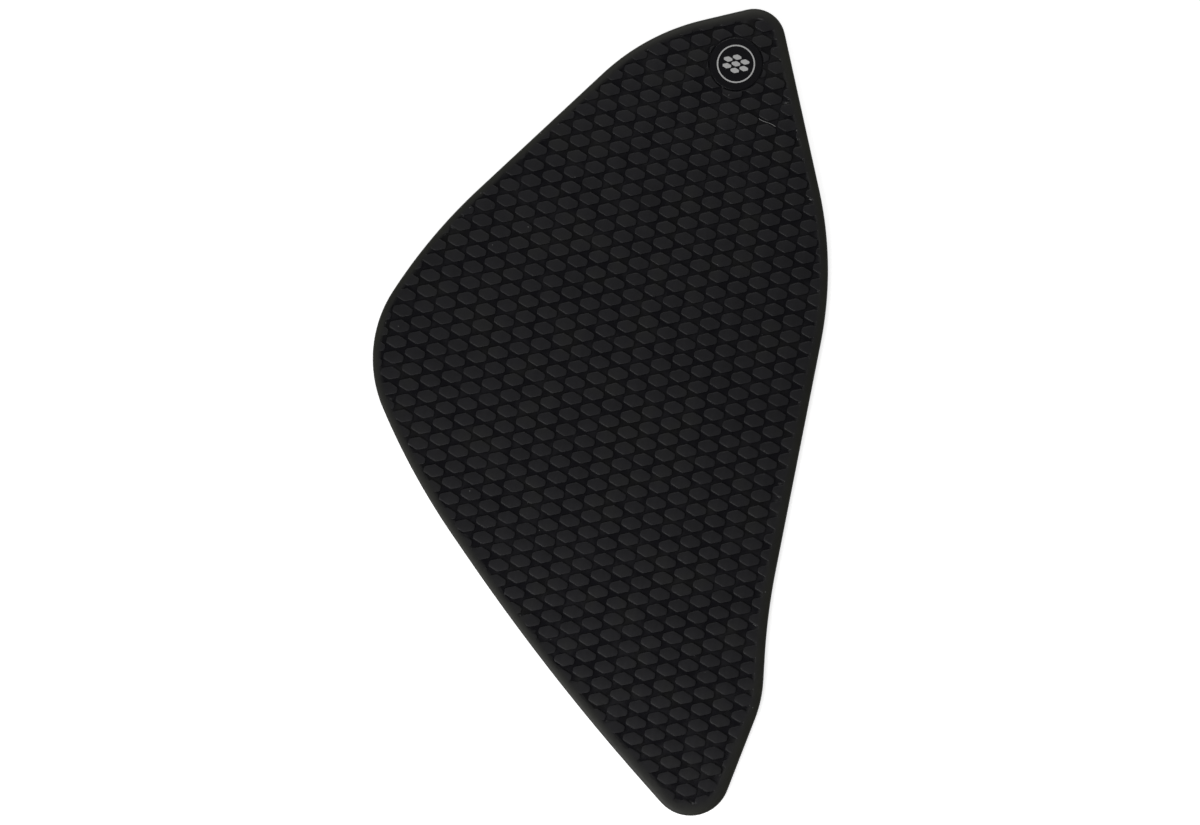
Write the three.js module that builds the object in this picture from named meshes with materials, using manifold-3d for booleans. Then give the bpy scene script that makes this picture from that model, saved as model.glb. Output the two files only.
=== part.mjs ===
// Side pad for a motorcycle fuel tank: one rubber moulding with raised scales on its front.
// Millimetres. X is to the right and Y up the pad as its front is seen, and Z points out of the front.
// The flat back lies on Z = 0, under the middle of the outline.
import * as THREE from 'three';
import { mergeVertices } from 'three/addons/utils/BufferGeometryUtils.js';
import Module from 'manifold-3d';

// Overall size of the outline
const PAD_WIDTH = 150;
const PAD_LENGTH = 266;

// Sharp corners of the outline in counter-clockwise order from the top right, as shares of the
// width and the length from its middle. Each has the radius that rounds it, as a share of the
// length. The one corner that turns the other way makes the hollow in the right edge.
const OUTLINE = [
  { across: 0.3914, up: 0.5084, bend: 0.039 },
  { across: 0.100, up: 0.4694, bend: 0.274 },
  { across: -0.371, up: 0.222, bend: 0.665 },
  { across: -0.536, up: 0.082, bend: 0.154 },
  { across: -0.415, up: -0.079, bend: 0.902 },
  { across: -0.113, up: -0.327, bend: 2.820 },
  { across: 0.2283, up: -0.5449, bend: 0.049 },
  { across: 0.3572, up: -0.358, bend: 0.154 },
  { across: 0.3685, up: -0.250, bend: 0.789 },
  { across: 0.5197, up: 0.181, bend: 0.462 },
];
const ARC_SAGITTA = 0.1;

// Section: back face to scale tops, the upright edge, and the sloped border inside it
const THICKNESS = 3;
const EDGE_HEIGHT = 2.6;
const BORDER_WIDTH = 2.4;

// Scales: a lattice of long hexagons, parted by grooves that run along two families of lines
const SCALE_PITCH_LONG = 13.43;
const SCALE_PITCH_SHORT = 5.308;
const GROOVE_WIDTH = 0.96;
const GROOVE_DEPTH = 0.9;
const PATTERN_X = 3.55;
const PATTERN_Y = -0.41;
const PATTERN_MARGIN = 0.65;

// The lattice is a little uneven. Its rows and its columns lean by their own angles, in degrees, and
// they bow and fan out: each share is how far a point is shifted one pad length from the middle.
const ROW_TILT = -9.91;
const COLUMN_TILT = -10.67;
const SIDEWAYS_FAN = -0.0236;
const UPWARD_BOW = 0.0361;
const UPWARD_FAN = 0.0191;
const UPWARD_THINNING = -0.0239;

// Round smooth spot with a groove round it, placed from the sharp top right corner
const SPOT_IN_FROM_CORNER = 13.86;
const SPOT_DOWN_FROM_CORNER = 20.41;
const SPOT_RADIUS = 8.6;
const SPOT_GROOVE_WIDTH = 0.6;
const SPOT_GROOVE_DEPTH = 0.6;
const SPOT_SIDES = 24;

const RUBBER = new THREE.MeshStandardMaterial({ color: 0x212123, roughness: 0.62, metalness: 0 });

const CORNERS = OUTLINE.map((corner) => ({
  x: corner.across * PAD_WIDTH,
  y: corner.up * PAD_LENGTH,
  radius: corner.bend * PAD_LENGTH,
}));
const SPOT_X = CORNERS[0].x - SPOT_IN_FROM_CORNER;
const SPOT_Y = CORNERS[0].y - SPOT_DOWN_FROM_CORNER;

const wrap = (index) => (index + CORNERS.length) % CORNERS.length;

// Unit vector and length of the edge that runs from a corner of the outline to the next one.
function outlineEdge(index) {
  const from = CORNERS[wrap(index)];
  const to = CORNERS[wrap(index + 1)];
  const edge = new THREE.Vector2(to.x - from.x, to.y - from.y);
  return { direction: edge.clone().normalize(), length: edge.length() };
}

// Angle by which the outline turns at a corner, positive to the left.
function turnAt(index) {
  const arrive = outlineEdge(index - 1).direction;
  const leave = outlineEdge(index).direction;
  return Math.atan2(arrive.cross(leave), arrive.dot(leave));
}

// Length of edge that the full rounding of a corner takes up on each side of it.
function fullRun(index) {
  return CORNERS[wrap(index)].radius * Math.tan(Math.abs(turnAt(index)) / 2);
}

// Share of its rounding that a corner can have, where two roundings meet on a short edge.
function roundingShare(index) {
  const room = (edge) => outlineEdge(edge).length / (fullRun(edge) + fullRun(edge + 1));
  return Math.min(1, room(index - 1), room(index));
}

// Points of the outline, moved inwards by an inset. Every inset gives the same number of points.
function outlinePoints(inset) {
  const points = [];
  CORNERS.forEach((corner, index) => {
    const share = roundingShare(index);
    const arrive = outlineEdge(index - 1).direction;
    const turn = turnAt(index);
    const side = Math.sign(turn);
    const radius = share * corner.radius;
    const run = share * fullRun(index);
    const centreX = corner.x - run * arrive.x - side * radius * arrive.y;
    const centreY = corner.y - run * arrive.y + side * radius * arrive.x;
    const startAngle = Math.atan2(-side * arrive.x, side * arrive.y);
    const largestStep = 2 * Math.acos(1 - ARC_SAGITTA / radius);
    const steps = Math.ceil(Math.abs(turn) / largestStep);
    for (let step = 0; step <= steps; step += 1) {
      const angle = startAngle + (turn * step) / steps;
      const x = centreX + (radius - side * inset) * Math.cos(angle);
      const y = centreY + (radius - side * inset) * Math.sin(angle);
      points.push(new THREE.Vector2(x, y));
    }
  });
  return points;
}

// A geometry from corner positions and triples of corner numbers.
function indexedGeometry(positions, triangles) {
  const geometry = new THREE.BufferGeometry();
  geometry.setAttribute('position', new THREE.Float32BufferAttribute(positions, 3));
  geometry.setIndex(triangles);
  return geometry;
}

// The plain pad: an upright edge, a sloped border and flat faces, lofted through three outlines.
function plainPad() {
  const rings = [
    { inset: 0, z: 0 },
    { inset: 0, z: EDGE_HEIGHT },
    { inset: BORDER_WIDTH, z: THICKNESS },
  ];
  const positions = [];
  rings.forEach((ring) => {
    outlinePoints(ring.inset).forEach((point) => positions.push(point.x, point.y, ring.z));
  });
  const count = positions.length / 3 / rings.length;
  const triangles = [];
  for (let ring = 0; ring + 1 < rings.length; ring += 1) {
    for (let index = 0; index < count; index += 1) {
      const low = ring * count + index;
      const lowNext = ring * count + ((index + 1) % count);
      triangles.push(low, lowNext, lowNext + count, low, lowNext + count, low + count);
    }
  }
  const lastRing = (rings.length - 1) * count;
  const bottomFaces = THREE.ShapeUtils.triangulateShape(outlinePoints(0), []);
  bottomFaces.forEach(([a, b, c]) => triangles.push(a, c, b));
  const topFaces = THREE.ShapeUtils.triangulateShape(outlinePoints(BORDER_WIDTH), []);
  topFaces.forEach(([a, b, c]) => triangles.push(lastRing + a, lastRing + b, lastRing + c));
  return indexedGeometry(positions, triangles);
}

// Place on the pad of a point of the pattern, whose steps are quarters of the two pitches.
function patternPlace(column, row, rise) {
  const along = (column * SCALE_PITCH_LONG) / 4;
  const across = (row * SCALE_PITCH_SHORT) / 4 + rise;
  const rowTilt = THREE.MathUtils.degToRad(ROW_TILT);
  const columnTilt = THREE.MathUtils.degToRad(COLUMN_TILT);
  const x = PATTERN_X + along * Math.cos(rowTilt) - across * Math.sin(columnTilt);
  const y = PATTERN_Y + along * Math.sin(rowTilt) + across * Math.cos(columnTilt);
  const sideways = (SIDEWAYS_FAN * x * y) / PAD_LENGTH;
  const upward = (UPWARD_BOW * x * x + UPWARD_FAN * x * y + UPWARD_THINNING * y * y) / PAD_LENGTH;
  return new THREE.Vector2(x + sideways, y + upward);
}

function isInside(point, polygon) {
  let inside = false;
  polygon.forEach((end, index) => {
    const start = polygon[(index + polygon.length - 1) % polygon.length];
    const crosses = start.y > point.y !== end.y > point.y;
    if (crosses && point.x < start.x + ((end.x - start.x) * (point.y - start.y)) / (end.y - start.y)) {
      inside = !inside;
    }
  });
  return inside;
}

// The three meeting points of the groove lines at the corners of a pocket. A pocket fills the
// triangle between a crossing and the end of the next scale, on the side that is +1 or -1.
function pocketCorners(column, row, side) {
  return [
    [column, row],
    [column + side, row - 1],
    [column + side, row + 1],
  ];
}

function pocketFits(corners, field) {
  const keepOff = SPOT_RADIUS + SPOT_GROOVE_WIDTH + PATTERN_MARGIN;
  return corners.every(([column, row]) =>
    [-1, 1].every((edge) => {
      const point = patternPlace(column, row, (edge * GROOVE_WIDTH) / 2);
      const clearsSpot = Math.hypot(point.x - SPOT_X, point.y - SPOT_Y) > keepOff;
      return clearsSpot && isInside(point, field);
    }),
  );
}

// Every pocket that lies whole inside the border and clear of the round spot, by name.
function listPockets() {
  const field = outlinePoints(BORDER_WIDTH + PATTERN_MARGIN);
  const centre = patternPlace(0, 0, 0);
  const reach = Math.max(...field.map((point) => point.distanceTo(centre)));
  const columns = 2 * Math.ceil((2 * reach) / SCALE_PITCH_LONG);
  const rows = 2 * Math.ceil((2 * reach) / SCALE_PITCH_SHORT);
  const pockets = new Map();
  for (let column = -columns; column <= columns; column += 2) {
    for (let row = -rows; row <= rows; row += 2) {
      const isCrossing = (column + row) % 4 === 0;
      for (const side of [-1, 1]) {
        const corners = pocketCorners(column, row, side);
        if (isCrossing && pocketFits(corners, field)) {
          pockets.set(`${column} ${row} ${side}`, { column, row, side, corners });
        }
      }
    }
  }
  return pockets;
}

// The space that all grooves and pockets take, as one shape. Its floor points lie on the groove
// lines, and its upper points lie in the pad's face, on both sides of those lines.
function grooveNetwork() {
  const pockets = listPockets();
  const positions = [];
  const triangles = [];
  const numbers = new Map();

  function number([column, row], edge) {
    const name = `${column} ${row} ${edge}`;
    if (!numbers.has(name)) {
      const point = patternPlace(column, row, (edge * GROOVE_WIDTH) / 2);
      const z = edge === 0 ? THICKNESS - GROOVE_DEPTH : THICKNESS;
      numbers.set(name, positions.length / 3);
      positions.push(point.x, point.y, z);
    }
    return numbers.get(name);
  }

  pockets.forEach(({ column, row, side, corners }) => {
    const [start, below, above] = corners;
    const [startLow, startFloor, startHigh] = [-1, 0, 1].map((edge) => number(start, edge));
    const [belowLow, belowFloor, belowHigh] = [-1, 0, 1].map((edge) => number(below, edge));
    const [aboveLow, aboveFloor, aboveHigh] = [-1, 0, 1].map((edge) => number(above, edge));
    const faces = [
      [startFloor, aboveFloor, belowFloor],
      [startLow, belowLow, belowHigh],
      [startLow, belowHigh, aboveLow],
      [startLow, aboveLow, aboveHigh],
      [startLow, aboveHigh, startHigh],
      [startFloor, belowFloor, belowLow],
      [startFloor, belowLow, startLow],
      [belowFloor, aboveFloor, aboveLow],
      [belowFloor, aboveLow, belowHigh],
      [aboveFloor, startFloor, startHigh],
      [aboveFloor, startHigh, aboveHigh],
    ];
    if (!pockets.has(`${column} ${row} ${-side}`)) {
      faces.push([startFloor, startLow, startHigh]);
    }
    if (!pockets.has(`${column + 2 * side} ${row - 2} ${-side}`)) {
      faces.push([belowFloor, belowHigh, belowLow]);
    }
    if (!pockets.has(`${column + 2 * side} ${row + 2} ${-side}`)) {
      faces.push([aboveFloor, aboveHigh, aboveLow]);
    }
    faces.forEach(([a, b, c]) => {
      if (side > 0) {
        triangles.push(a, b, c);
      } else {
        triangles.push(a, c, b);
      }
    });
  });
  return indexedGeometry(positions, triangles);
}

// The ring groove round the smooth spot, V-shaped in section like the grooves between the scales.
function spotGroove() {
  const section = [
    new THREE.Vector2(SPOT_RADIUS + SPOT_GROOVE_WIDTH / 2, -SPOT_GROOVE_DEPTH),
    new THREE.Vector2(SPOT_RADIUS + SPOT_GROOVE_WIDTH, 0),
    new THREE.Vector2(SPOT_RADIUS, 0),
    new THREE.Vector2(SPOT_RADIUS + SPOT_GROOVE_WIDTH / 2, -SPOT_GROOVE_DEPTH),
  ];
  const geometry = new THREE.LatheGeometry(section, SPOT_SIDES);
  geometry.rotateX(Math.PI / 2);
  geometry.translate(SPOT_X, SPOT_Y, THICKNESS);
  return geometry;
}

const wasm = await Module();
wasm.setup();

function toSolid(geometry) {
  geometry.deleteAttribute('normal');
  geometry.deleteAttribute('uv');
  const merged = mergeVertices(geometry);
  const vertProperties = new Float32Array(merged.attributes.position.array);
  const triVerts = new Uint32Array(merged.index.array);
  return new wasm.Manifold(new wasm.Mesh({ numProp: 3, vertProperties, triVerts }));
}

function toGeometry(solid) {
  const mesh = solid.getMesh();
  const geometry = new THREE.BufferGeometry();
  geometry.setAttribute('position', new THREE.BufferAttribute(mesh.vertProperties, mesh.numProp));
  geometry.setIndex(new THREE.BufferAttribute(mesh.triVerts, 1));
  geometry.computeVertexNormals();
  return geometry;
}

function makeTankPad() {
  const pad = toSolid(plainPad());
  const textured = pad.subtract(toSolid(grooveNetwork()));
  const finished = textured.subtract(toSolid(spotGroove()));
  const mesh = new THREE.Mesh(toGeometry(finished), RUBBER);
  mesh.name = 'tank_pad';
  return mesh;
}

const part = new THREE.Group();
part.add(makeTankPad());

export default part;
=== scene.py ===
import math

import bpy
import numpy as np
from mathutils.geometry import delaunay_2d_cdt
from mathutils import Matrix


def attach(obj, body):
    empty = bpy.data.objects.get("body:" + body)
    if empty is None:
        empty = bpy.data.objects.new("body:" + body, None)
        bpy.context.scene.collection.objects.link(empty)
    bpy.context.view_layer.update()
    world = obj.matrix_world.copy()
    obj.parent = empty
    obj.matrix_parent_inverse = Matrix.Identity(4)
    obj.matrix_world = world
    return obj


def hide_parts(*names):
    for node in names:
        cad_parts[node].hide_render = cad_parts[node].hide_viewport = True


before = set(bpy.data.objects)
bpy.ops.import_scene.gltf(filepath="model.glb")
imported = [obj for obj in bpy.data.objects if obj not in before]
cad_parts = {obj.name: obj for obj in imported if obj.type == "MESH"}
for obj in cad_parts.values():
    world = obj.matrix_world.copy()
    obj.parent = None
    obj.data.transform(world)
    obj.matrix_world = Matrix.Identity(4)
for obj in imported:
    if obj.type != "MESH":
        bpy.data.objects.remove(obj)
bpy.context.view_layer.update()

MM = 0.001

# Overall size and outline, as in the pad's own drawing: each sharp corner is a share of the width
# and of the length from the middle, and its rounding a share of the length.
PAD_WIDTH = 150.0
PAD_LENGTH = 266.0
OUTLINE = (
    (0.3914, 0.5084, 0.039),
    (0.100, 0.4694, 0.274),
    (-0.371, 0.222, 0.665),
    (-0.536, 0.082, 0.154),
    (-0.415, -0.079, 0.902),
    (-0.113, -0.327, 2.820),
    (0.2283, -0.5449, 0.049),
    (0.3572, -0.358, 0.154),
    (0.3685, -0.250, 0.789),
    (0.5197, 0.181, 0.462),
)
# The fine edge stays this far inside the drawn one, so that it never leaves the faceted solid's box.
EDGE_INSET = 0.03
# Points along the outline are no further apart than this.
EDGE_STEP = 1.6

# Section through the edge: thickness, upright wall, and the border that rounds up to full height.
# The border drops by its slope all across its width, and by its rounded edge near the wall.
THICKNESS = 3.0
EDGE_HEIGHT = 2.2
BACK_ROUNDING = 0.15
SLOPE_DROP = 0.46
EDGE_ROUNDING = 0.45
EDGE_DROP = THICKNESS - SLOPE_DROP - EDGE_HEIGHT
# Lines along the border: first at these distances from its edge, then at these shares of its width
EDGE_RINGS = (0.0, 0.08, 0.2, 0.45)
SLOPE_SHARES = (0.4, 0.6, 0.8)
# The border's width at the middle of each rounded corner of the outline. It changes evenly between them.
BORDER_WIDTHS = (2.9, 2.1, 1.65, 2.05, 2.5, 2.5, 3.7, 2.9, 3.0, 2.4)

# Scales: long hexagons with soft corners. The lattice is a little uneven: its rows and its columns
# lean by their own angles, and they bow and fan out. Each share is how far a point is shifted one
# pad length from the middle.
SCALE_PITCH_LONG = 13.43
SCALE_PITCH_SHORT = 5.308
GROOVE_WIDTH = 0.96
PATTERN_X = 3.55
PATTERN_Y = -0.41
ROW_TILT = math.radians(-9.91)
COLUMN_TILT = math.radians(-10.67)
SIDEWAYS_FAN = -0.0236
UPWARD_BOW = 0.0361
UPWARD_FAN = 0.0191
UPWARD_THINNING = -0.0239
BOW_STEPS = 5
TIP_ROUNDING = 1.3
TIP_POINTS = 4
END_ROUNDING = 0.7
END_POINTS = 3

# Round smooth spot, placed from the sharp top right corner, in a ring groove
SPOT_IN_FROM_CORNER = 13.86
SPOT_DOWN_FROM_CORNER = 20.41
SPOT_RADIUS = 8.65
SPOT_GROOVE_WIDTH = 0.5
SPOT_GROOVE_SHARE = 1.1
SPOT_DROP = 0.08
SPOT_POINTS = 96
SPOT_FADE = 0.3

# Levels of every wall in the relief, from the groove's floor to the flat top. Each level line runs
# this far out from the drawn outline of a scale, the border and the spot.
LEVEL_DROPS = (0.5, 0.3, 0.14, 0.04, 0.0)
SCALE_LEVELS = (0.2, 0.12, 0.05, -0.04, -0.25)
BORDER_LEVELS = (0.75, 0.45, 0.25, 0.1, 0.0)
RING_LEVELS = (0.16, 0.07, 0.0, -0.08, -0.2)

# Plain printed mark on the spot: a ring round seven small scales
PRINT_RING_OUTER = 6.3
PRINT_RING_INNER = 5.85
PRINT_SCALE_SIZE = 0.42

# A pale fibre that lies in the grooves below the spot: where it starts, bends and ends
FIBRE_PLACES = ((52.4, 96.8), (53.7, 96.0), (55.2, 95.5), (56.6, 94.9), (57.9, 94.1))
FIBRE_CURVE_DEGREE = 3
FIBRE_RADIUS = 0.07
# Its middle stays at least this many radii below the scale tops.
FIBRE_COVER = 1.2
FIBRE_SIDES = 6
FIBRE_STEPS = 24

# Lines that run out under the border or the spot end this far beyond its edge.
CUT_OVERLAP = 0.02
# Points closer than this are one point of the triangulation, which keeps all triangles or those
# inside its lines.
SAME_POINT = 1e-4
ALL_TRIANGLES, INSIDE_TRIANGLES = 0, 1
SHARP_ANGLE = math.radians(50)

# The largest share that still belongs to the same arc or edge, and how much less a stretch of the
# outline suits a point for each share that the point lies beyond it
LAST_SHARE = 1 - 1e-7
BEYOND_COST = 1e3


def unit(angle):
    return np.array((math.cos(angle), math.sin(angle)))


def left_of(direction):
    return np.array((-direction[1], direction[0]))


class RoundedPolygon:
    """A closed counter-clockwise outline of straight edges and round corners, and its parallel curves.

    A place along it is a number: whole part 2 i for the arc of corner i and 2 i + 1 for the edge
    after it, and the fraction is the share of that arc or edge.
    """

    def __init__(self, corners):
        points = [np.array(corner[:2]) for corner in corners]
        count = len(points)
        self.count = count
        self.edges = []
        runs = []
        turns = []
        for i in range(count):
            edge = points[(i + 1) % count] - points[i]
            self.edges.append(edge / np.linalg.norm(edge))
        for i in range(count):
            arrive, leave = self.edges[i - 1], self.edges[i]
            turn = math.atan2(arrive[0] * leave[1] - arrive[1] * leave[0], arrive @ leave)
            turns.append(turn)
            runs.append(corners[i][2] * math.tan(abs(turn) / 2))
        self.arcs = []
        for i in range(count):
            side = math.copysign(1.0, turns[i])
            radius = corners[i][2]
            centre = points[i] - runs[i] * self.edges[i - 1] + side * radius * left_of(self.edges[i - 1])
            toward = -side * left_of(self.edges[i - 1])
            start = math.atan2(toward[1], toward[0])
            self.arcs.append((centre, radius, side, start, turns[i]))
        self.starts = [points[i] + runs[i] * self.edges[i] for i in range(count)]
        self.lengths = [
            np.linalg.norm(points[(i + 1) % count] - points[i]) - runs[i] - runs[(i + 1) % count]
            for i in range(count)
        ]
        arcs = [corners[i][2] * abs(turns[i]) for i in range(count)]
        self.stretches = np.column_stack((arcs, self.lengths)).ravel()

    def travelled(self, places):
        """Length of the outline from its start to each place."""
        whole = np.floor(places).astype(int) % (2 * self.count)
        starts = np.cumsum(self.stretches) - self.stretches
        return starts[whole] + self.stretches[whole] * (places % 1)

    def point(self, place, inset):
        """The point at a place along the outline, moved inwards."""
        whole = int(place // 1) % (2 * self.count)
        share = place % 1
        i = whole // 2
        if whole % 2 == 0:
            centre, radius, side, start, turn = self.arcs[i]
            return centre + (radius - side * inset) * unit(start + turn * share)
        direction = self.edges[i]
        return self.starts[i] + direction * self.lengths[i] * share + inset * left_of(direction)

    def places(self, step):
        """Places along the outline, no further than a step apart, with every joint of arc and edge."""
        found = []
        for i in range(self.count):
            _, radius, _, _, turn = self.arcs[i]
            for whole, length in ((2 * i, radius * abs(turn)), (2 * i + 1, self.lengths[i])):
                pieces = max(1, math.ceil(length / step))
                found.extend(whole + k / pieces for k in range(pieces))
        return found

    def locate(self, points):
        """For points near the outline: how far inside it each one is, and its place along it."""
        best = np.full(len(points), np.inf)
        depth = np.zeros(len(points))
        place = np.zeros(len(points))
        for i in range(self.count):
            centre, radius, side, start, turn = self.arcs[i]
            away = points - centre
            angle = (np.arctan2(away[:, 1], away[:, 0]) - start) * side % (2 * math.pi)
            angle = np.where(angle > math.pi + abs(turn) / 2, angle - 2 * math.pi, angle)
            arc_share = angle / abs(turn)
            arc_depth = side * (radius - np.linalg.norm(away, axis=1))
            from_start = points - self.starts[i]
            edge_share = from_start @ self.edges[i] / self.lengths[i]
            edge_depth = from_start @ left_of(self.edges[i])
            stretches = ((2 * i, arc_share, arc_depth), (2 * i + 1, edge_share, edge_depth))
            for whole, share, inside in stretches:
                beyond = BEYOND_COST * np.maximum(0, np.abs(share - 0.5) - 0.5)
                score = np.abs(inside) + beyond
                better = score < best
                best[better] = score[better]
                depth[better] = inside[better]
                place[better] = (whole + np.clip(share, 0, LAST_SHARE))[better]
        return depth, place


OUTER = RoundedPolygon([(x * PAD_WIDTH, y * PAD_LENGTH, bend * PAD_LENGTH) for x, y, bend in OUTLINE])
SPOT = np.array((
    OUTLINE[0][0] * PAD_WIDTH - SPOT_IN_FROM_CORNER,
    OUTLINE[0][1] * PAD_LENGTH - SPOT_DOWN_FROM_CORNER,
))
ALONG = unit(ROW_TILT)
ACROSS = left_of(unit(COLUMN_TILT))


def border_width(places):
    """Width of the sloped border at places along the pad's outline."""
    middles = OUTER.travelled(2.0 * np.arange(OUTER.count) + 0.5)
    return np.interp(OUTER.travelled(places), middles, BORDER_WIDTHS, period=OUTER.stretches.sum())


def scale_outline():
    """A scale's outline round its centre, along the pattern's own axes."""
    half_gap = GROOVE_WIDTH / 2
    tip = SCALE_PITCH_SHORT / 2 - half_gap
    end_x = SCALE_PITCH_LONG / 4
    end_y = SCALE_PITCH_SHORT / 4 - half_gap
    return RoundedPolygon((
        (0, -tip, TIP_ROUNDING),
        (end_x, -end_y, END_ROUNDING),
        (end_x, end_y, END_ROUNDING),
        (0, tip, TIP_ROUNDING),
        (-end_x, end_y, END_ROUNDING),
        (-end_x, -end_y, END_ROUNDING),
    ))


SCALE = scale_outline()


def scale_line(offset):
    """One level line of a scale, its corners as short arcs."""
    points = []
    for corner in range(SCALE.count):
        is_tip = corner % (SCALE.count // 2) == 0
        shares = np.linspace(0, LAST_SHARE, TIP_POINTS if is_tip else END_POINTS)
        points.extend(SCALE.point(2 * corner + share, -offset) for share in shares)
    return np.array(points)


def bow(points):
    """How far the lattice's unevenness shifts points of the even lattice."""
    x, y = points[..., 0], points[..., 1]
    sideways = SIDEWAYS_FAN * x * y / PAD_LENGTH
    upward = (UPWARD_BOW * x * x + UPWARD_FAN * x * y + UPWARD_THINNING * y * y) / PAD_LENGTH
    return np.stack((sideways, upward), axis=-1)


def from_pattern(points):
    """Points along the pattern's axes, placed on the pad."""
    even = np.array((PATTERN_X, PATTERN_Y)) + points[..., :1] * ALONG + points[..., 1:] * ACROSS
    return even + bow(even)


def to_pattern(points):
    """The way back: the shift is small, so a few steps find the even place of each point."""
    even = points
    for _ in range(BOW_STEPS):
        even = points - bow(even)
    return np.linalg.solve(np.column_stack((ALONG, ACROSS)), (even - (PATTERN_X, PATTERN_Y)).T).T


def scale_centres():
    """Every scale centre of the lattice round the pad, along the pattern's axes."""
    half_long, half_short = SCALE_PITCH_LONG / 2, SCALE_PITCH_SHORT / 2
    columns = math.ceil(PAD_LENGTH / 2 / half_long)
    rows = math.ceil(PAD_LENGTH / 2 / half_short)
    return np.array([
        (column * half_long, row * half_short)
        for column in range(-columns, columns + 1)
        for row in range(-rows, rows + 1)
        if (column + row) % 2 == 1
    ])


def rise_from(values, lines):
    """How far below full height a wall is, where the values grow outwards over its level lines."""
    order = np.argsort(lines)
    return np.interp(values, np.array(lines)[order], np.array(LEVEL_DROPS)[order])


def scale_drop(points):
    """How far below full height the scales' relief is."""
    local = to_pattern(points)
    drop = np.full(len(points), LEVEL_DROPS[0])
    pitch = np.array((SCALE_PITCH_LONG, SCALE_PITCH_SHORT))
    for shift in ((0.0, SCALE_PITCH_SHORT / 2), (SCALE_PITCH_LONG / 2, 0.0)):
        folded = local - shift
        folded -= np.round(folded / pitch) * pitch
        depth, _ = SCALE.locate(folded)
        drop = np.minimum(drop, rise_from(-depth, SCALE_LEVELS))
    return drop


def relief(points):
    """Heights of the top surface, and how far each point is in a groove, on the border and on the spot."""
    depth, places = OUTER.locate(points)
    inset = depth - EDGE_INSET
    width = border_width(places)
    radius = np.linalg.norm(points - SPOT, axis=1)
    ring_outer = SPOT_RADIUS + SPOT_GROOVE_WIDTH
    outside = np.maximum(scale_drop(points), SPOT_GROOVE_SHARE * rise_from(ring_outer - radius, RING_LEVELS))
    disc = np.maximum(SPOT_GROOVE_SHARE * rise_from(radius - SPOT_RADIUS, RING_LEVELS), SPOT_DROP)
    drop = np.where(radius < SPOT_RADIUS + SPOT_GROOVE_WIDTH / 2, disc, outside)
    drop = np.minimum(drop, rise_from(inset - width, BORDER_LEVELS))
    slope = SLOPE_DROP * np.clip(1 - inset / width, 0, 1) ** 2
    slope += EDGE_DROP * np.clip(1 - inset / EDGE_ROUNDING, 0, 1) ** 2
    heights = THICKNESS - np.where(inset < width, slope, drop)
    groove = np.where(inset < width, 0.0, drop / LEVEL_DROPS[0])
    # Share of the sloped border, which takes the rim's paler colour (partly painted sheen) and its roughness.
    rim = np.clip((width + BORDER_LEVELS[0] - inset) / width, 0, 1)
    spot = np.clip(1 - (radius - SPOT_RADIUS) / SPOT_FADE, 0, 1)
    return heights, groove, rim, spot


class Plan:
    """Points in plan, and the lines between them that the surface's triangles have to follow."""

    def __init__(self):
        self.points = []
        self.lines = []

    def add_point(self, point):
        self.points.append((float(point[0]), float(point[1])))
        return len(self.points) - 1

    def add_loop(self, loop, room=None):
        """A closed loop. Where room is given for each point, only what has room, and a little beyond."""
        count = len(loop)
        if room is None:
            room = np.ones(count)
        numbers = {k: self.add_point(loop[k]) for k in range(count) if room[k] > 0}
        for k in range(count):
            following = (k + 1) % count
            ends = [numbers.get(k), numbers.get(following)]
            if ends == [None, None]:
                continue
            if None in ends:
                near, far = (k, following) if ends[1] is None else (following, k)
                share = min(1.0, (room[near] + CUT_OVERLAP) / (room[near] - room[far]))
                ends[ends.index(None)] = self.add_point(loop[near] + share * (loop[far] - loop[near]))
            self.lines.append(tuple(ends))


def circle(centre, radius, count):
    return np.array([centre + radius * unit(2 * math.pi * k / count) for k in range(count)])


def print_scales():
    """The printed mark's seven small scales: one in the middle and six round it."""
    half_long, half_short = SCALE_PITCH_LONG / 2, SCALE_PITCH_SHORT / 2
    places = ((0, 0), (0, 2), (0, -2), (1, 1), (1, -1), (-1, 1), (-1, -1))
    loop = scale_line(0.0)
    return [
        SPOT + PRINT_SCALE_SIZE * (
            (loop[:, :1] + column * half_long) * ALONG + (loop[:, 1:] + row * half_short) * ACROSS
        )
        for column, row in places
    ]


def plan_of_top():
    plan = Plan()
    places = np.array(OUTER.places(EDGE_STEP))
    width = border_width(places)
    rings = [np.full(len(places), ring) for ring in EDGE_RINGS]
    rings += [share * width for share in SLOPE_SHARES]
    rings += [width + line for line in BORDER_LEVELS]
    for ring in rings:
        plan.add_loop([OUTER.point(place, EDGE_INSET + inset) for place, inset in zip(places, ring)])
    for line in RING_LEVELS:
        plan.add_loop(circle(SPOT, SPOT_RADIUS + line, SPOT_POINTS))
        plan.add_loop(circle(SPOT, SPOT_RADIUS + SPOT_GROOVE_WIDTH - line, SPOT_POINTS))
    for radius in (PRINT_RING_OUTER, PRINT_RING_INNER):
        plan.add_loop(circle(SPOT, radius, SPOT_POINTS))
    for loop in print_scales():
        plan.add_loop(loop)
    centres = scale_centres()
    for line in SCALE_LEVELS:
        loops = from_pattern(centres[:, None, :] + scale_line(line)[None, :, :])
        flat = loops.reshape(-1, 2)
        depth, flat_places = OUTER.locate(flat)
        radius = np.linalg.norm(flat - SPOT, axis=1)
        clear_of_spot = radius - (SPOT_RADIUS + SPOT_GROOVE_WIDTH - RING_LEVELS[0])
        clear_of_border = depth - EDGE_INSET - border_width(flat_places)
        room = np.minimum(clear_of_border, clear_of_spot).reshape(loops.shape[:2])
        for loop, loop_room in zip(loops, room):
            plan.add_loop(loop, loop_room)
    return plan


def inside_loop(points, loop):
    """Which points are inside a convex counter-clockwise loop."""
    inside = np.ones(len(points), bool)
    for here, following in zip(loop, np.roll(loop, -1, axis=0)):
        edge = following - here
        away = points - here
        inside &= edge[0] * away[:, 1] - edge[1] * away[:, 0] > 0
    return inside


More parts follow.
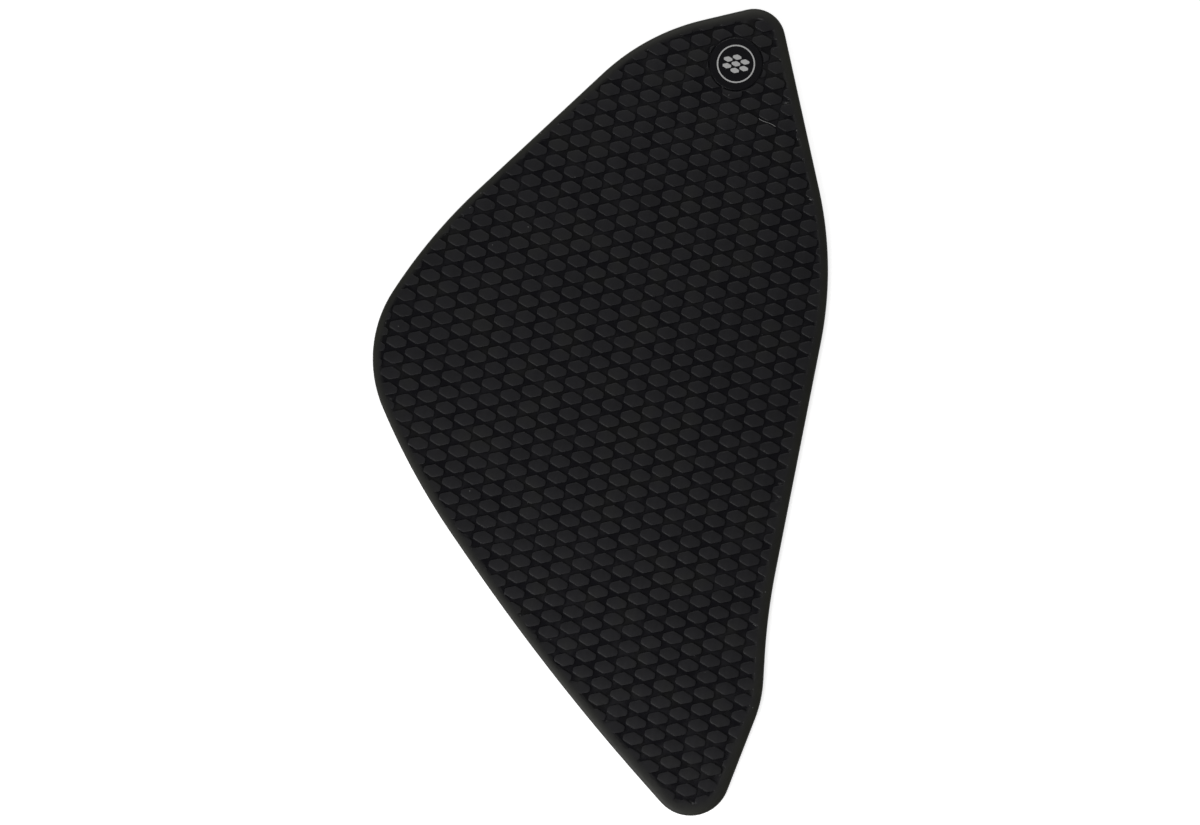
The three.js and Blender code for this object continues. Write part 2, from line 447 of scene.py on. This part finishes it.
def triangulate(points, lines, kept=ALL_TRIANGLES):
    result = delaunay_2d_cdt(points, lines, [], kept, SAME_POINT)
    found = np.array([tuple(vertex) for vertex in result[0]])
    return found, np.array(result[2])


def rim_loop(triangles):
    """The vertices along the open edge of a sheet of triangles, in order."""
    edges = {(a, b) for t in triangles.tolist() for a, b in ((t[0], t[1]), (t[1], t[2]), (t[2], t[0]))}
    following = {a: b for a, b in edges if (b, a) not in edges}
    first = next(iter(following))
    loop = [first]
    while following[loop[-1]] != first:
        loop.append(following[loop[-1]])
    if len(loop) != len(following):
        raise RuntimeError("the top surface has more than one open edge")
    return loop


def build_pad():
    plan = plan_of_top()
    flat, triangles = triangulate(plan.points, plan.lines)
    middles = flat[triangles].mean(axis=1)
    triangles = triangles[OUTER.locate(middles)[0] > EDGE_INSET]
    used = np.unique(triangles)
    renumber = np.full(len(flat), -1)
    renumber[used] = np.arange(len(used))
    flat = flat[used]
    triangles = renumber[triangles]
    middles = flat[triangles].mean(axis=1)

    heights, groove, rim, spot = relief(flat)
    edge = rim_loop(triangles)
    edge_places = OUTER.locate(flat[edge])[1]
    foot = np.array([OUTER.point(place, EDGE_INSET + BACK_ROUNDING) for place in edge_places])
    wall = np.column_stack((flat[edge], np.full(len(edge), BACK_ROUNDING)))
    back = np.column_stack((foot, np.zeros(len(edge))))
    top_count, edge_count = len(flat), len(edge)
    vertices = np.vstack((np.column_stack((flat, heights)), wall, back))

    faces = triangles.tolist()
    wall_ring = [top_count + k for k in range(edge_count)]
    back_ring = [top_count + edge_count + k for k in range(edge_count)]
    for upper, lower in ((edge, wall_ring), (wall_ring, back_ring)):
        for k in range(edge_count):
            following = (k + 1) % edge_count
            faces.append([lower[k], lower[following], upper[following], upper[k]])
    back_points, back_triangles = triangulate(
        [tuple(point) for point in foot.tolist()],
        [(k, (k + 1) % edge_count) for k in range(edge_count)],
        INSIDE_TRIANGLES,
    )
    if len(back_points) != edge_count:
        raise RuntimeError("the back's edge crosses itself")
    faces.extend([back_ring[c], back_ring[b], back_ring[a]] for a, b, c in back_triangles.tolist())

    middle_radius = np.linalg.norm(middles - SPOT, axis=1)
    printed = (middle_radius < PRINT_RING_OUTER) & (middle_radius > PRINT_RING_INNER)
    for loop in print_scales():
        printed |= inside_loop(middles, loop)

    mesh = bpy.data.meshes.new("pad_rubber")
    mesh.from_pydata((vertices * MM).tolist(), [], faces)
    materials = np.zeros(len(faces), np.int32)
    materials[: len(triangles)] = printed
    mesh.polygons.foreach_set("material_index", materials)
    for name, top_values, side_value in (("groove", groove, 0.0), ("rim", rim, 1.0), ("spot", spot, 0.0)):
        values = np.full(len(vertices), side_value, np.float32)
        values[:top_count] = top_values
        mesh.attributes.new(name, "FLOAT", "POINT").data.foreach_set("value", values)
    mesh.shade_smooth()
    mesh.set_sharp_from_angle(angle=SHARP_ANGLE)
    rounded = np.arange(len(faces)) < len(faces) - len(back_triangles)
    mesh.polygons.foreach_set("use_smooth", rounded)
    mesh.validate()
    pad = bpy.data.objects.new("pad_rubber", mesh)
    bpy.context.scene.collection.objects.link(pad)
    return pad


class Nodes:
    """Short ways to make the nodes of one material."""

    def __init__(self, owner):
        owner.use_nodes = True
        self.tree = owner.node_tree
        self.tree.nodes.clear()

    def new(self, kind, inputs=None, **settings):
        node = self.tree.nodes.new(kind)
        for name, value in settings.items():
            setattr(node, name, value)
        for name, value in (inputs or {}).items():
            if isinstance(value, bpy.types.NodeSocket):
                self.tree.links.new(value, node.inputs[name])
            else:
                node.inputs[name].default_value = value
        return node

    def math(self, operation, first, second=0.5, clamp=False):
        node = self.new("ShaderNodeMath", {0: first, 1: second}, operation=operation, use_clamp=clamp)
        return node.outputs[0]

    def mix(self, share, first, second):
        node = self.new("ShaderNodeMix", {"Factor": share, 6: first, 7: second}, data_type="RGBA")
        return node.outputs[2]

    def blend(self, share, first, second):
        node = self.new("ShaderNodeMix", {"Factor": share, 2: first, 3: second})
        return node.outputs[0]

    def map_range(self, value, low, high, to_low=0.0, to_high=1.0, interpolation="LINEAR"):
        inputs = {"Value": value, "From Min": low, "From Max": high, "To Min": to_low, "To Max": to_high}
        node = self.new("ShaderNodeMapRange", inputs, interpolation_type=interpolation)
        return node.outputs["Result"]

    def noise(self, place, size, detail=2.0):
        """Noise whose features are about a size in millimetres."""
        inputs = {"Vector": place, "Scale": 1 / (size * MM), "Detail": detail}
        return self.new("ShaderNodeTexNoise", inputs).outputs["Fac"]

    def dust(self, place, gap, radius):
        """Round specks up to a radius, about a gap apart, in millimetres. Half of them have no size."""
        cells = self.new("ShaderNodeTexVoronoi", {"Vector": place, "Scale": 1 / (gap * MM)}).outputs
        chosen = self.new("ShaderNodeSeparateColor", {0: cells["Color"]}).outputs[0]
        size = self.math("MULTIPLY", self.math("SUBTRACT", chosen, 0.5), 2 * radius / gap)
        return self.math("GREATER_THAN", size, cells["Distance"])

    def attribute(self, name):
        return self.new("ShaderNodeAttribute", attribute_name=name).outputs["Fac"]


def tinted(value, tint):
    """A dark colour of a given level, with each channel's tint."""
    return (value * tint[0], value * tint[1], value * tint[2], 1.0)


# Colours
BLUISH = (1.0, 0.95, 1.3)
OLIVE = (1.0, 1.02, 0.7)
TOP_DARK, TOP_PALE = tinted(0.0040, BLUISH), tinted(0.0082, BLUISH)
GROOVE_DARK, GROOVE_PALE = tinted(0.0046, BLUISH), tinted(0.0066, BLUISH)
# Sloped border: an olive tint of its own, and a level paler than the tops that is painted sheen, where the
# slope catches the light.
SHEENED_RIM_DARK, SHEENED_RIM_PALE = tinted(0.0115, OLIVE), tinted(0.0165, OLIVE)
SPOT_COLOUR = tinted(0.0045, BLUISH)
PATCH_COLOUR = tinted(0.0078, OLIVE)
DUST_COLOUR = (0.2, 0.2, 0.2, 1.0)
INK_DARK, INK_PALE = (0.43, 0.43, 0.43, 1.0), (0.55, 0.55, 0.54, 1.0)
FIBRE_DARK, FIBRE_PALE = (0.2, 0.2, 0.2, 1.0), (0.45, 0.45, 0.44, 1.0)

# Sizes in millimetres of what varies over the rubber: tone, gloss, patches and grain
CLOUD_SIZE = 9.0
MOTTLE_SIZE = 1.3
GRAIN_SIZE = 0.22
GLOSS_SIZE = 4.0
PATCH_SIZE = 9.0
INK_SPECKLE_SIZE = 0.4
FIBRE_SPECKLE_SIZE = 0.5
DUST_GAP = 3.9
DUST_RADIUS = 0.15

# The part of a noise's range that carries the change, the share of clouds in the tone, and how
# strongly the patches show
NOISE_LOW, NOISE_HIGH = 0.35, 0.65
CLOUD_SHARE = 0.7
PATCH_LOW, PATCH_HIGH = 0.5, 0.68
PATCH_STRENGTH = 0.4

# Gloss: roughness of each place, its spread by the grain, and how soon a groove's edge turns glossy
TOP_ROUGHNESS = 0.6
GROOVE_ROUGHNESS_MOST, GROOVE_ROUGHNESS_LEAST = 0.4, 0.17
RIM_ROUGHNESS = 0.5
SPOT_ROUGHNESS = 0.3
GRAIN_ROUGHNESS = 0.2
GLOSSY_FROM_GROOVE = 0.2
RUBBER_SPECULAR = 0.3
INK_ROUGHNESS = 0.55
FIBRE_ROUGHNESS = 0.5

# Fine unevenness of the surface: strength, and height in millimetres
RIPPLE_STRENGTH, RIPPLE_HEIGHT = 0.25, 0.05
GRAIN_STRENGTH, GRAIN_HEIGHT = 0.5, 0.02


def build_fibre():
    """A thin tube along a smooth curve, resting just above the relief under it."""
    bends = np.array(FIBRE_PLACES)
    bend_shares = np.linspace(0, 1, len(bends))
    shares = np.linspace(0, 1, FIBRE_STEPS)
    line = np.column_stack([
        np.polynomial.Polynomial.fit(bend_shares, bends[:, axis], FIBRE_CURVE_DEGREE)(shares)
        for axis in (0, 1)
    ])
    heights = relief(line)[0] + FIBRE_RADIUS
    heights = np.minimum(heights, THICKNESS - FIBRE_COVER * FIBRE_RADIUS)
    along = np.gradient(line, axis=0)
    along /= np.linalg.norm(along, axis=1)[:, None]
    side = np.column_stack((-along[:, 1], along[:, 0]))
    vertices = []
    for k in range(FIBRE_STEPS):
        for corner in range(FIBRE_SIDES):
            out = FIBRE_RADIUS * unit(2 * math.pi * corner / FIBRE_SIDES)
            vertices.append((*(line[k] + out[0] * side[k]), heights[k] + out[1]))
    faces = [list(range(FIBRE_SIDES))[::-1], list(range(len(vertices) - FIBRE_SIDES, len(vertices)))]
    for k in range(FIBRE_STEPS - 1):
        for corner in range(FIBRE_SIDES):
            here = k * FIBRE_SIDES + corner
            following = k * FIBRE_SIDES + (corner + 1) % FIBRE_SIDES
            faces.append([here, following, following + FIBRE_SIDES, here + FIBRE_SIDES])
    mesh = bpy.data.meshes.new("fibre")
    mesh.from_pydata([tuple(MM * value for value in vertex) for vertex in vertices], [], faces)
    mesh.shade_smooth()
    fibre = bpy.data.objects.new("fibre", mesh)
    bpy.context.scene.collection.objects.link(fibre)
    return fibre


def rubber_material():
    material = bpy.data.materials.new("moulded_rubber")
    nodes = Nodes(material)
    place = nodes.new("ShaderNodeTexCoord").outputs["Object"]
    cloudy = nodes.noise(place, CLOUD_SIZE, 3.0)
    mottled = nodes.noise(place, MOTTLE_SIZE, 3.0)
    grain = nodes.noise(place, GRAIN_SIZE)
    groove, rim, spot = (nodes.attribute(name) for name in ("groove", "rim", "spot"))

    clouds = nodes.math("MULTIPLY", cloudy, CLOUD_SHARE)
    mottles = nodes.math("MULTIPLY", mottled, 1 - CLOUD_SHARE)
    uneven = nodes.map_range(nodes.math("ADD", clouds, mottles), NOISE_LOW, NOISE_HIGH)
    top = nodes.mix(uneven, TOP_DARK, TOP_PALE)
    floor = nodes.mix(uneven, GROOVE_DARK, GROOVE_PALE)
    slope = nodes.mix(uneven, SHEENED_RIM_DARK, SHEENED_RIM_PALE)
    colour = nodes.mix(groove, top, floor)
    patches = nodes.map_range(nodes.noise(place, PATCH_SIZE, 1.0), PATCH_LOW, PATCH_HIGH, 0.0, PATCH_STRENGTH)
    colour = nodes.mix(patches, colour, PATCH_COLOUR)
    # Painted sheen: the sloped border takes its paler olive colour.
    colour = nodes.mix(rim, colour, slope)
    colour = nodes.mix(spot, colour, SPOT_COLOUR)
    colour = nodes.mix(nodes.dust(place, DUST_GAP, DUST_RADIUS), colour, DUST_COLOUR)

    glossy = nodes.map_range(groove, 0.0, GLOSSY_FROM_GROOVE)
    polish = nodes.map_range(
        nodes.noise(place, GLOSS_SIZE), NOISE_LOW, NOISE_HIGH, GROOVE_ROUGHNESS_MOST, GROOVE_ROUGHNESS_LEAST
    )
    rough = nodes.blend(glossy, TOP_ROUGHNESS, polish)
    rough = nodes.blend(rim, rough, RIM_ROUGHNESS)
    rough = nodes.blend(spot, rough, SPOT_ROUGHNESS)
    spread = nodes.math("MULTIPLY", nodes.math("SUBTRACT", grain, 0.5), GRAIN_ROUGHNESS)
    rough = nodes.math("ADD", rough, spread, clamp=True)

    rippled = nodes.new(
        "ShaderNodeBump", {"Height": mottled, "Strength": RIPPLE_STRENGTH, "Distance": RIPPLE_HEIGHT * MM}
    ).outputs["Normal"]
    normal = nodes.new("ShaderNodeBump", {
        "Height": grain,
        "Strength": GRAIN_STRENGTH,
        "Distance": GRAIN_HEIGHT * MM,
        "Normal": rippled,
    }).outputs["Normal"]
    shader = nodes.new("ShaderNodeBsdfPrincipled", {
        "Base Color": colour,
        "Roughness": rough,
        "Normal": normal,
        "Specular IOR Level": RUBBER_SPECULAR,
    })
    nodes.new("ShaderNodeOutputMaterial", {"Surface": shader.outputs[0]})
    return material


def speckled_material(name, speckle_size, dark, pale, roughness):
    """A material whose tone wavers between a dark and a pale colour."""
    material = bpy.data.materials.new(name)
    nodes = Nodes(material)
    place = nodes.new("ShaderNodeTexCoord").outputs["Object"]
    colour = nodes.mix(nodes.noise(place, speckle_size), dark, pale)
    shader = nodes.new("ShaderNodeBsdfPrincipled", {"Base Color": colour, "Roughness": roughness})
    nodes.new("ShaderNodeOutputMaterial", {"Surface": shader.outputs[0]})
    return material


# Floor, light and camera
FLOOR_SIDE = 6.0
FLOOR_GAP = 0.0002
FLOOR_COLOUR = (0.8, 0.8, 0.8, 1.0)
FLOOR_GLOW = 0.7
WHITE = (1.0, 1.0, 1.0, 1.0)
VIEW_WIDTH_PX = 1200
MM_PER_PX = 0.33
VIEW_CENTRE_Y = -0.2
LENS = 200.0
SENSOR = 36.0
NEAREST_SEEN, FARTHEST_SEEN = 0.05, 20.0
KEY_DISTANCE = 0.9
KEY_AZIMUTH = math.radians(-138)
KEY_ELEVATION = math.radians(36)
KEY_SIZE = 0.5
KEY_WATTS = 2.9
BACK_DISTANCE = 0.42
BACK_AZIMUTH = math.radians(88)
BACK_ELEVATION = math.radians(42)
BACK_SIZE = 0.15
BACK_WATTS = 0.29
FRONT_DISTANCE = 0.38
FRONT_AZIMUTH = math.radians(-107)
FRONT_ELEVATION = math.radians(42)
FRONT_SIZE = 0.15
FRONT_WATTS = 0.33
# The world is brightest on one side, and dims above a height, given as a share of straight up.
BRIGHT_AZIMUTH = math.radians(90)
BRIGHT_SIDE_LEVEL = 0.6
DIM_SIDE_LEVEL = 0.32
ZENITH_LEVEL = 0.09
ZENITH_FROM, ZENITH_FULL = 0.5, 0.9


def make_floor():
    mesh = bpy.data.meshes.new("floor")
    half = FLOOR_SIDE / 2
    corners = ((-half, -half), (half, -half), (half, half), (-half, half))
    mesh.from_pydata([(x, y, -FLOOR_GAP) for x, y in corners], [], [(0, 1, 2, 3)])
    floor = bpy.data.objects.new("floor", mesh)
    bpy.context.scene.collection.objects.link(floor)
    material = bpy.data.materials.new("white_floor")
    nodes = Nodes(material)
    path = nodes.new("ShaderNodeLightPath").outputs
    seen = nodes.math("ADD", path["Is Camera Ray"], path["Is Glossy Ray"])
    seen = nodes.math("ADD", seen, path["Is Transmission Ray"], clamp=True)
    lit = nodes.new("ShaderNodeBsdfDiffuse", {"Color": FLOOR_COLOUR}).outputs[0]
    strength = nodes.math("MULTIPLY", seen, FLOOR_GLOW)
    glow = nodes.new("ShaderNodeEmission", {"Color": WHITE, "Strength": strength}).outputs[0]
    both = nodes.new("ShaderNodeAddShader", {0: lit, 1: glow}).outputs[0]
    nodes.new("ShaderNodeOutputMaterial", {"Surface": both})
    mesh.materials.append(material)


def make_lamp(name, distance, azimuth, elevation, size, watts):
    """A square area lamp that faces the pad's middle."""
    data = bpy.data.lights.new(name, "AREA")
    data.shape = "SQUARE"
    data.size = size
    data.energy = watts
    lamp = bpy.data.objects.new(name, data)
    across = unit(azimuth) * math.cos(elevation) * distance
    lamp.location = (across[0], across[1], math.sin(elevation) * distance)
    lamp.rotation_euler = (math.pi / 2 - elevation, 0, azimuth + math.pi / 2)
    bpy.context.scene.collection.objects.link(lamp)


def make_light():
    world = bpy.data.worlds.new("studio")
    bpy.context.scene.world = world
    nodes = Nodes(world)
    direction = nodes.new("ShaderNodeTexCoord").outputs["Generated"]
    height = nodes.new("ShaderNodeSeparateXYZ", {0: direction}).outputs["Z"]
    toward = unit(BRIGHT_AZIMUTH)
    facing = nodes.new(
        "ShaderNodeVectorMath", {0: direction, 1: (toward[0], toward[1], 0)}, operation="DOT_PRODUCT"
    ).outputs["Value"]
    sides = nodes.map_range(facing, 0.0, 1.0, DIM_SIDE_LEVEL, BRIGHT_SIDE_LEVEL, "SMOOTHSTEP")
    high = nodes.map_range(height, ZENITH_FROM, ZENITH_FULL, interpolation="SMOOTHSTEP")
    level = nodes.blend(high, sides, ZENITH_LEVEL)
    background = nodes.new("ShaderNodeBackground", {"Color": WHITE, "Strength": level})
    nodes.new("ShaderNodeOutputWorld", {"Surface": background.outputs[0]})

    make_lamp("key", KEY_DISTANCE, KEY_AZIMUTH, KEY_ELEVATION, KEY_SIZE, KEY_WATTS)
    make_lamp("back", BACK_DISTANCE, BACK_AZIMUTH, BACK_ELEVATION, BACK_SIZE, BACK_WATTS)
    make_lamp("front", FRONT_DISTANCE, FRONT_AZIMUTH, FRONT_ELEVATION, FRONT_SIZE, FRONT_WATTS)


def make_camera():
    data = bpy.data.cameras.new("camera")
    data.lens = LENS
    data.sensor_width = SENSOR
    data.clip_start = NEAREST_SEEN
    data.clip_end = FARTHEST_SEEN
    camera = bpy.data.objects.new("camera", data)
    view_width = VIEW_WIDTH_PX * MM_PER_PX * MM
    camera.location = (0, VIEW_CENTRE_Y * MM, EDGE_HEIGHT * MM + view_width * LENS / SENSOR)
    bpy.context.scene.collection.objects.link(camera)
    bpy.context.scene.camera = camera


bpy.context.scene.view_settings.view_transform = "Standard"
make_camera()
make_floor()
make_light()
pad = build_pad()
pad.data.materials.append(rubber_material())
pad.data.materials.append(speckled_material("grey_ink", INK_SPECKLE_SIZE, INK_DARK, INK_PALE, INK_ROUGHNESS))
fibre = build_fibre()
fibre.data.materials.append(
    speckled_material("pale_fibre", FIBRE_SPECKLE_SIZE, FIBRE_DARK, FIBRE_PALE, FIBRE_ROUGHNESS)
)
for piece in (pad, fibre):
    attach(piece, "root")
    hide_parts("tank_pad")
